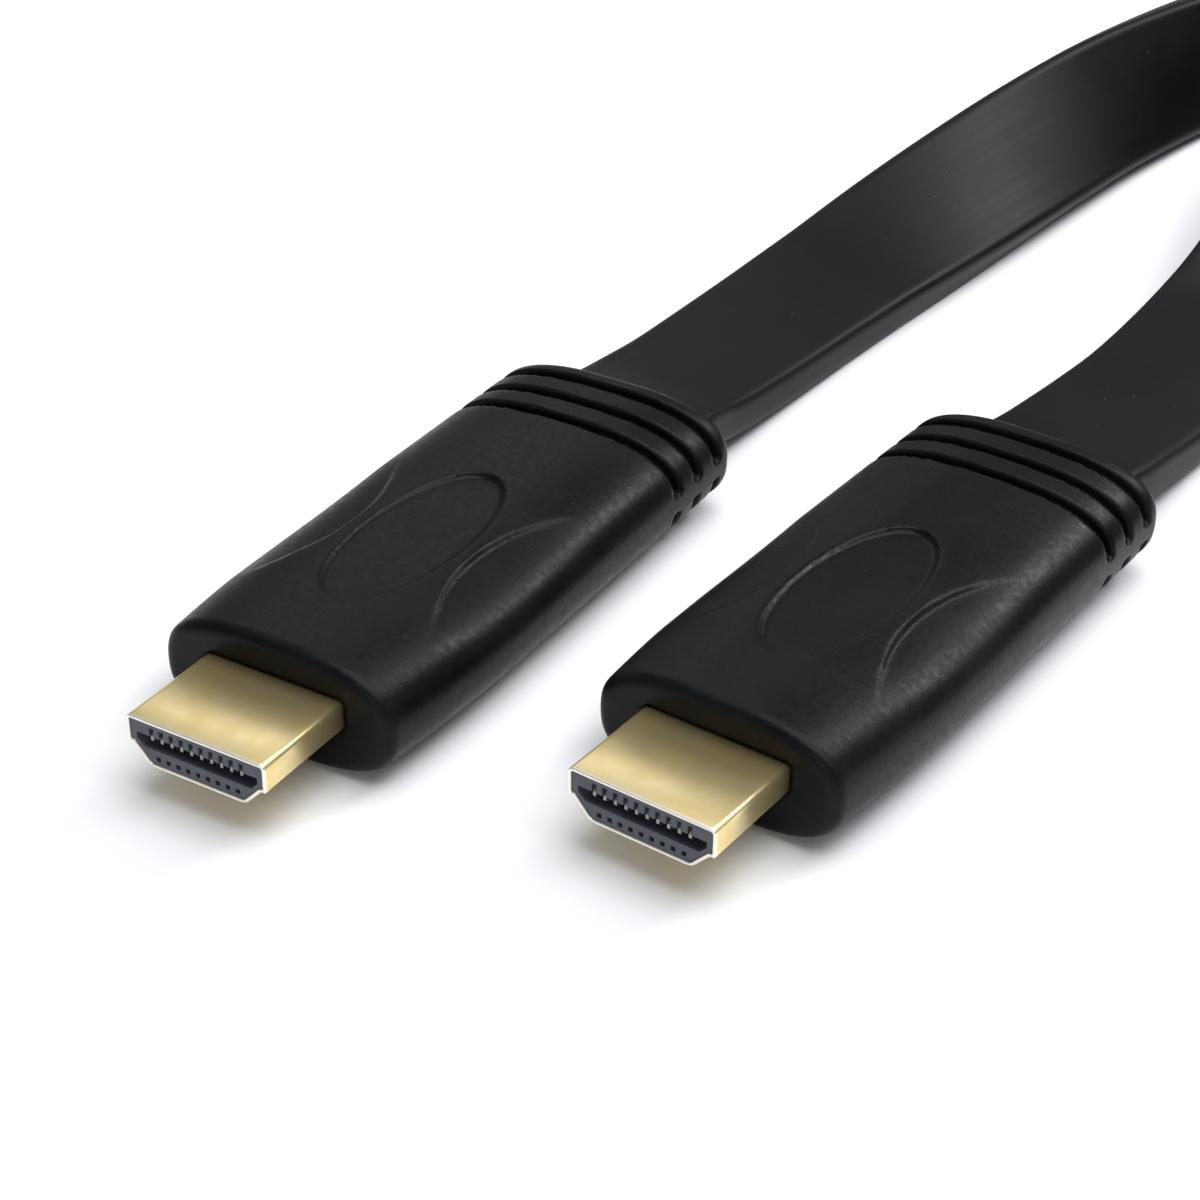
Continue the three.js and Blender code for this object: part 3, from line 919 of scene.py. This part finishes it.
@dataclass
class Insulator:
    """The plastic insert: a slot for the socket's tongue and two rows of contact cells."""

    sizes: PlugSizes
    gap: float = 0.02
    face: float = 0.15
    slot: tuple[float, float, float] = (12.1, 1.2, 8.2)
    slot_drop: float = 1.55
    corner_cut: float = 0.65
    cell: float = 0.45
    upper_drop: float = 0.96
    lower_drop: float = 3.6
    cell_depth: float = 10.0
    spring: tuple[float, float] = (1.0, 5.5)

    def slot_cutter(self) -> bmesh.types.BMesh:
        """The cutter of the slot, with its lower corners cut across."""
        wide, high, deep = self.slot
        half, roof, cut = wide / 2, self.sizes.shell_top - self.slot_drop, self.corner_cut
        floor = roof - high
        outline = [
            (half, roof), (-half, roof), (-half, floor + cut), (-half + cut, floor),
            (half - cut, floor), (half, floor + cut),
        ]
        return loft([[Vector((x, y, z)) for x, z in outline] for y in (-1.0, deep)])

    def cell_cutters(self) -> bmesh.types.BMesh:
        """The cutters of all the contact cells."""
        half = self.cell / 2
        middle = self.sizes.shell_top - self.slot_drop - self.slot[1] / 2
        cells = []
        for count, drop, start in ((10, self.upper_drop, -1.0), (9, self.lower_drop, self.spring[0])):
            row = self.sizes.shell_top - drop
            for i in range(count):
                x = i - (count - 1) / 2
                cells.append(box((x - half, -1.0, row - half), (x + half, self.cell_depth, row + half)))
                low, high = sorted((row, middle))
                cells.append(box((x - half, start, low), (x + half, self.spring[1], high)))
        return joined(cells)

    def mesh(self) -> bpy.types.Mesh:
        """The insert in the plug's own millimetres."""
        outline = self.sizes.shell_outline(self.sizes.wall + self.gap, 3)
        back = self.sizes.front + self.sizes.shell_root - 0.3
        block = loft([[Vector((x, y, z)) for x, z in outline] for y in (self.face, back)])
        return carved(
            block, [self.slot_cutter(), self.cell_cutters()],
            BEVEL={"width": 0.035, "segments": 2, "limit_method": "ANGLE", "angle_limit": math.radians(50)},
        )


@dataclass
class Plug:
    """One plug, made of its overmould, shell, insulator and contacts."""

    place: PlugPlace
    sizes: PlugSizes = field(default_factory=PlugSizes)

    def build(self, forms: dict[Slot, bpy.types.Mesh], finishes: dict[Slot, bpy.types.Material]) -> None:
        """Puts the plug's pieces in their place and dresses them.

        Args:
            forms: The meshes of the pieces, in the plug's own millimetres.
            finishes: The materials.
        """
        names = {Slot.OVERMOULD: "overmould", Slot.GOLD: "shell", Slot.INSULATOR: "insulator"}
        for slot, word in names.items():
            node = f"{self.place.label}_{word}"
            mesh = forms[slot].copy()
            layer = mesh.attributes.new("own", "FLOAT_VECTOR", "POINT")
            layer.data.foreach_set("vector", [value * MM for vert in mesh.vertices for value in vert.co])
            mesh.transform(self.place.matrix())
            publish(mesh, f"{node}_finished", finishes[slot], [node])
        for name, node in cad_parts.items():
            if name.startswith(self.place.label) and "contact" in name:
                node.data.materials.clear()
                node.data.materials.append(finishes[Slot.CONTACT])


# The ribbon


@dataclass
class Ribbon:
    """The flat ribbon from plug to plug: two free stretches and a coil wound from the middle."""

    width: float = 17.0
    thickness: float = 4.4
    edge: float = 1.35
    exit_height: float = 5.1
    lead: float = 3.0
    floor_gap: float = 0.1
    rear: float = 66.6
    gap: float = 0.1
    length: float = 1.7
    step: float = 2.0
    coil_centre: tuple[float, float] = (100.0, 186.9)
    coil_radius: float = 88.0
    coil_pitch: float = 6.2
    coil_sweep: int = 297
    coil_lead_in: int = 165
    tie_angle: float = 130.0
    tie_lift: float = 0.9
    route_a: tuple[tuple[float, float, float, float], ...] = (
        (-20.0, 33.9, 1.8, 1), (-20.1, 41.9, 0.8, 2), (-20.0, 49.9, 0.3, 4), (-19.6, 60.9, 0, 7),
        (-18.7, 72.9, 0, 12), (-17.3, 84.9, 0, 22), (-15.8, 97.9, 0, 32), (-14.2, 111.9, 0, 43),
        (-12.2, 125.9, 0, 55), (-9.2, 139.9, 0, 67), (-5.6, 153.9, 0, 78), (-1.9, 167.9, 0, 86),
        (1.5, 180.9, 0, 90),
    )
    route_b: tuple[tuple[float, float, float, float], ...] = (
        (20.0, 45.9, 2.4, 1), (20.2, 51.9, 1.5, 2), (20.5, 58.9, 0.7, 3), (20.9, 67.9, 0.1, 4),
        (21.2, 79.9, 0, 7), (21.2, 92.9, 0, 15), (20.2, 104.9, 0, 33), (17.8, 115.9, 0, 58),
        (14.8, 126.9, 0, 80), (12.6, 135.9, 0, 89), (12.0, 142.9, 0, 90),
    )

    def resting(self, roll: float) -> float:
        """Height of the middle line when the lower edge touches the floor."""
        angle = math.radians(roll)
        inner_w, inner_t = self.width / 2 - self.edge, self.thickness / 2 - self.edge
        return inner_w * math.sin(angle) + inner_t * math.cos(angle) + self.edge

    def exits(self, place: PlugPlace) -> list[Vector]:
        """Where the ribbon leaves a plug, and the end of its level start, in millimetres."""
        turn = math.radians(place.turn)
        spots = []
        for reach in (self.rear + self.gap, self.rear + self.gap + self.lead):
            x, y = place.x - reach * math.sin(turn), place.y + reach * math.cos(turn)
            spots.append(Vector((x, y, self.exit_height)))
        return spots

    def stretch(self, place: PlugPlace, route: Sequence[Sequence[float]]) -> list[tuple[Vector, float]]:
        """The free stretch from a plug: points of the middle line with their roll."""
        points = [(spot, 0.0) for spot in self.exits(place)]
        for x, y, lift, roll in route:
            points.append((Vector((x, y, self.resting(roll) + self.floor_gap + lift)), roll))
        return points

    def arm(self, start_angle: float, sweep_from: int) -> list[tuple[Vector, float]]:
        """One half of the winding, clockwise and inwards."""
        points = []
        for sweep in range(sweep_from, self.coil_sweep + 1, 12):
            radius = self.coil_radius - 2 * self.coil_pitch * sweep / 360
            points.append((self.on_coil(start_angle - sweep, radius), 90.0))
        return points

    def radii_at(self, angle: float) -> list[float]:
        """The radii at which the winding passes an angle, in degrees."""
        radii = []
        for start, first in ((0.0, -self.coil_lead_in), (180.0, 0)):
            for lap in range(-2, 3):
                sweep = start - angle + 360 * lap
                if first <= sweep <= self.coil_sweep:
                    radii.append(self.coil_radius - 2 * self.coil_pitch * sweep / 360)
        return radii

    def on_coil(self, angle: float, radius: float) -> Vector:
        """A point of the winding, raised a little where the tie passes under it."""
        turn = math.radians(angle)
        apart = math.remainder(angle - self.tie_angle, 360.0)
        lift = self.tie_lift * math.exp(-((apart / 14.0) ** 2))
        x, y = self.coil_centre
        return Vector((x + radius * math.cos(turn), y + radius * math.sin(turn), self.resting(90.0) + lift))

    def fold(self) -> list[tuple[Vector, float]]:
        """The two half circles that join the halves in the coil's middle."""
        radius = (self.coil_radius - 2 * self.coil_pitch * self.coil_sweep / 360) / 2
        axis = -self.coil_sweep
        x, y = self.coil_centre
        points = []
        for way in (1, -1):
            middle = Vector((radius, 0)) if way == 1 else Vector((-radius, 0))
            angles = range(20, 180, 20) if way == 1 else range(0, 180, 20)
            for turned in angles:
                angle = math.radians(-turned if way == 1 else turned)
                spot = middle + Vector((radius * math.cos(angle), radius * math.sin(angle)))
                spot.rotate(Matrix.Rotation(math.radians(axis), 2))
                points.append((Vector((x + spot.x, y + spot.y, self.resting(90.0))), 90.0))
        return points

    def controls(self) -> list[tuple[Vector, float]]:
        """All the points that the ribbon's middle line passes, from plug a to plug b."""
        line = self.stretch(PLUGS[0], self.route_a) + self.arm(0.0, -self.coil_lead_in) + self.fold()
        line += list(reversed(self.arm(180.0, 0)))
        back = [(spot, 180.0 - roll) for spot, roll in self.stretch(PLUGS[1], self.route_b)]
        return line + list(reversed(back))

    def line(self) -> list[tuple[Vector, float]]:
        """The middle line at even steps, with its roll.

        Returns:
            Points in millimetres and rolls in degrees.
        """
        points = self.controls()
        spots = [spot for spot, _ in points]
        spots = [spots[0] * 2 - spots[1], *spots, spots[-1] * 2 - spots[-2]]
        dense = []
        for i, (_, roll) in enumerate(points[:-1]):
            p0, p1, p2, p3 = spots[i : i + 4]
            after = points[i + 1][1]
            parts = max(int((p2 - p1).length / 0.5), 2)
            for k in range(parts):
                t = k / parts
                dense.append((blend_points(p0, p1, p2, p3, t), roll + (after - roll) * t))
        dense.append(points[-1])
        even = [dense[0]]
        walked = 0.0
        for (before, _), (here, roll) in zip(dense, dense[1:]):
            walked += (here - before).length
            if walked >= self.step:
                even.append((here, roll))
                walked = 0.0
        even[-1] = dense[-1]
        return even

    def section(self) -> list[tuple[float, float]]:
        """The ribbon's cross-section: thickness and width."""
        t, w = self.thickness / 2, self.width / 2
        return rounded([(t, -w), (t, w), (-t, w), (-t, -w)], self.edge, 5)

    def build(self, finish: bpy.types.Material, tie: bpy.types.Object) -> bpy.types.Object:
        """Args:
            finish: The jacket's material.
            tie: The strap round the coil. Not used.

        Returns:
            The ribbon.
        """
        line = self.line()
        up = Vector((0, 0, 1))
        rings = []
        walked, run = 0.0, []
        for i, (spot, roll) in enumerate(line):
            tangent = (line[min(i + 1, len(line) - 1)][0] - line[max(i - 1, 0)][0]).normalized()
            left = up.cross(tangent).normalized()
            above = tangent.cross(left)
            angle = math.radians(roll)
            thick = above * math.cos(angle) - left * math.sin(angle)
            wide = tangent.cross(thick)
            rings.append([(spot + thick * t + wide * w) * MM for t, w in self.section()])
            walked += (spot - line[i - 1][0]).length * MM if i else 0.0
            run += [(walked, w * MM, t * MM) for t, w in self.section()]
        mesh = baked(as_object(loft(rings), "ribbon"))
        layer = mesh.attributes.new("run", "FLOAT_VECTOR", "POINT")
        layer.data.foreach_set("vector", [value for spot in run for value in spot])
        nodes = ["ribbon_from_plug_a", "ribbon_from_plug_b", "ribbon_fold"]
        nodes += [f"ribbon_coil_{i}" for i in range(1, 5)]
        ribbon = publish(mesh, "ribbon", finish, nodes)
        path = [tuple(spot * MM) for spot, _ in line]
        measured = sum((b[0] - a[0]).length for a, b in zip(line, line[1:])) * MM
        LOG.info("ribbon: %.4f m long, %d stations", measured, len(line))
        return ribbon


def blend_points(p0: Vector, p1: Vector, p2: Vector, p3: Vector, t: float) -> Vector:
    """A point of the centripetal Catmull-Rom curve between p1 and p2.

    Args:
        p0: The point before.
        p1: Where the stretch starts.
        p2: Where it ends.
        p3: The point after.
        t: The share of the stretch.

    Returns:
        The point.
    """
    d0, d1, d2 = (max((b - a).length, 1e-4) ** 0.5 for a, b in ((p0, p1), (p1, p2), (p2, p3)))
    t1 = ((p1 - p0) / d0 - (p2 - p0) / (d0 + d1) + (p2 - p1) / d1) * d1
    t2 = ((p2 - p1) / d1 - (p3 - p1) / (d1 + d2) + (p3 - p2) / d2) * d1
    return (
        p1 * (2 * t**3 - 3 * t**2 + 1) + t1 * (t**3 - 2 * t**2 + t)
        + p2 * (-2 * t**3 + 3 * t**2) + t2 * (t**3 - t**2)
    )


@dataclass
class Tie:
    """The strap round the coil."""

    ribbon: Ribbon
    width: float = 12.0
    thickness: float = 0.8
    clearance: float = 0.25
    corner: float = 1.6

    def build(self, finish: bpy.types.Material) -> bpy.types.Object:
        """Makes the strap.

        Args:
            finish: Its material.

        Returns:
            The strap.
        """
        size = self.ribbon
        radii = size.radii_at(size.tie_angle)
        reach = size.thickness / 2 + self.clearance + 0.4
        inner, outer = min(radii) - reach, max(radii) + reach
        under, top = self.thickness + 0.05, size.tie_lift + size.width + self.clearance
        corners = [(outer, under), (outer, top), (inner, top), (inner, under)]
        loops = []
        half = self.width / 2
        for out, y in ((0.0, -half), (self.thickness, -half), (self.thickness, half), (0.0, half)):
            loop = rounded(inset(corners, -out), self.corner + out, 6)
            loops.append([Vector((x, y, z)) for x, z in loop])
        bm = loft(loops, caps=False, loop=True)
        rims = [e for e in bm.edges if len(e.link_faces) == 2 and e.calc_face_angle(0.0) > 1.0]
        bmesh.ops.bevel(bm, geom=rims, offset=0.3, affect="EDGES", segments=3, profile=0.5, material=-1)
        turned = Matrix.Rotation(math.radians(size.tie_angle), 4, "Z")
        centre = Matrix.Translation((*size.coil_centre, 0.0))
        bmesh.ops.transform(bm, matrix=Matrix.Scale(MM, 4) @ centre @ turned, verts=bm.verts)
        mesh = baked(as_object(bm, "strap"))
        return publish(mesh, "coil_strap", finish, ["coil_tie"])


def main() -> None:
    """Builds the scene: camera and cord first, then the plugs, the light and the floor."""
    logging.basicConfig(level=logging.INFO, format="%(message)s")
    studio = Studio()
    studio.camera()
    ribbon = Ribbon()
    tie = Tie(ribbon).build(WovenStrap().build())
    ribbon.build(ExtrudedVinyl().build(), tie)
    sizes = PlugSizes()
    forms = {
        Slot.OVERMOULD: Overmould(sizes).mesh(),
        Slot.GOLD: Shell(sizes).mesh(),
        Slot.INSULATOR: Insulator(sizes).mesh(),
    }
    finishes = {
        Slot.OVERMOULD: MouldedVinyl().build(),
        Slot.GOLD: GoldPlate().build(),
        Slot.INSULATOR: MouldedPlastic().build(),
        Slot.CONTACT: ContactPlate().build(),
    }
    for place in PLUGS:
        Plug(place, sizes).build(forms, finishes)
    studio.lights()
    studio.floor()


if __name__ == "__main__":
    main()
